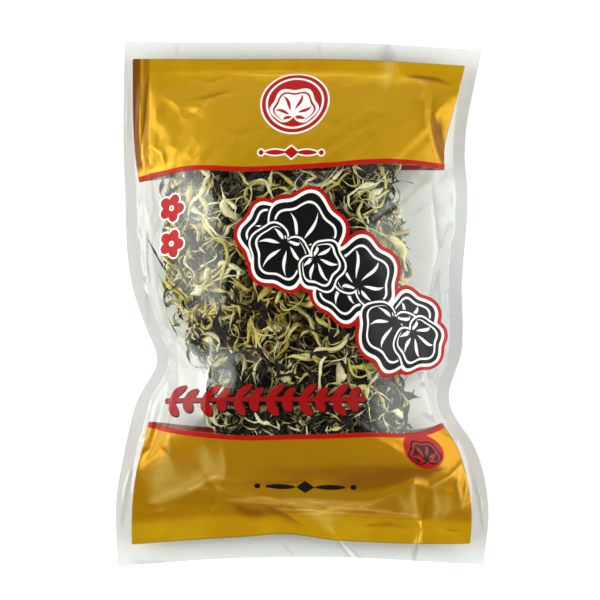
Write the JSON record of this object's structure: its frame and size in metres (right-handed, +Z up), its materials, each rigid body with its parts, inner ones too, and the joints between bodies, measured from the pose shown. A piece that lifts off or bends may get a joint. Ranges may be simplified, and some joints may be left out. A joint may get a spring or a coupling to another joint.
{
  "type": "packet of dried shredded wood ear mushroom",
  "caption": "Sealed clear film packet, gold printed bands at both ends, filled with curled dried strips of wood ear, dark on one side and pale on the other. Lies on its back.",
  "frame": {"origin": "on the surface that the packet lies on, under the middle of its outline", "axes": "+X across the packet to its right seal, +Y along it to its top seal, +Z up out of the printed front"},
  "size_m": [0.1937, 0.274, 0.0483],
  "materials": {
    "clear_film": "glossy clear film, gold ink bands at the ends",
    "dark_skin": "dry, slightly shiny",
    "pale_flesh": "dry, matt, downy"
  },
  "bodies": {
    "root": {"back_film": "clear_film", "front_film": "clear_film", "shredded_heap": "dark_skin", "strip_01": "pale_flesh", "strip_02": "pale_flesh", "strip_03": "pale_flesh", "strip_04": "pale_flesh", "strip_05": "pale_flesh", "strip_06": "pale_flesh", "strip_07": "pale_flesh", "strip_08": "pale_flesh", "strip_09": "pale_flesh", "strip_10": "pale_flesh", "strip_11": "pale_flesh", "strip_12": "pale_flesh", "strip_13": "pale_flesh", "strip_14": "pale_flesh", "strip_15": "pale_flesh", "strip_16": "pale_flesh", "strip_17": "pale_flesh", "strip_18": "pale_flesh", "strip_19": "pale_flesh", "strip_20": "pale_flesh", "strip_21": "pale_flesh", "strip_22": "pale_flesh", "strip_23": "pale_flesh", "strip_24": "pale_flesh", "strip_25": "pale_flesh", "strip_26": "pale_flesh", "strip_27": "pale_flesh", "strip_28": "pale_flesh", "strip_29": "pale_flesh", "strip_30": "pale_flesh", "strip_31": "pale_flesh", "strip_32": "pale_flesh", "strip_33": "pale_flesh", "strip_34": "pale_flesh", "strip_35": "pale_flesh", "strip_36": "pale_flesh", "strip_37": "pale_flesh", "strip_38": "pale_flesh", "strip_39": "pale_flesh", "strip_40": "pale_flesh", "strip_41": "pale_flesh", "strip_42": "pale_flesh", "strip_43": "pale_flesh", "strip_44": "pale_flesh", "strip_45": "pale_flesh", "strip_46": "pale_flesh", "strip_47": "pale_flesh", "strip_48": "pale_flesh", "strip_49": "pale_flesh", "strip_50": "pale_flesh", "strip_51": "pale_flesh", "strip_52": "pale_flesh", "strip_53": "pale_flesh", "strip_54": "pale_flesh", "strip_55": "pale_flesh"}
  },
  "joints": []
}
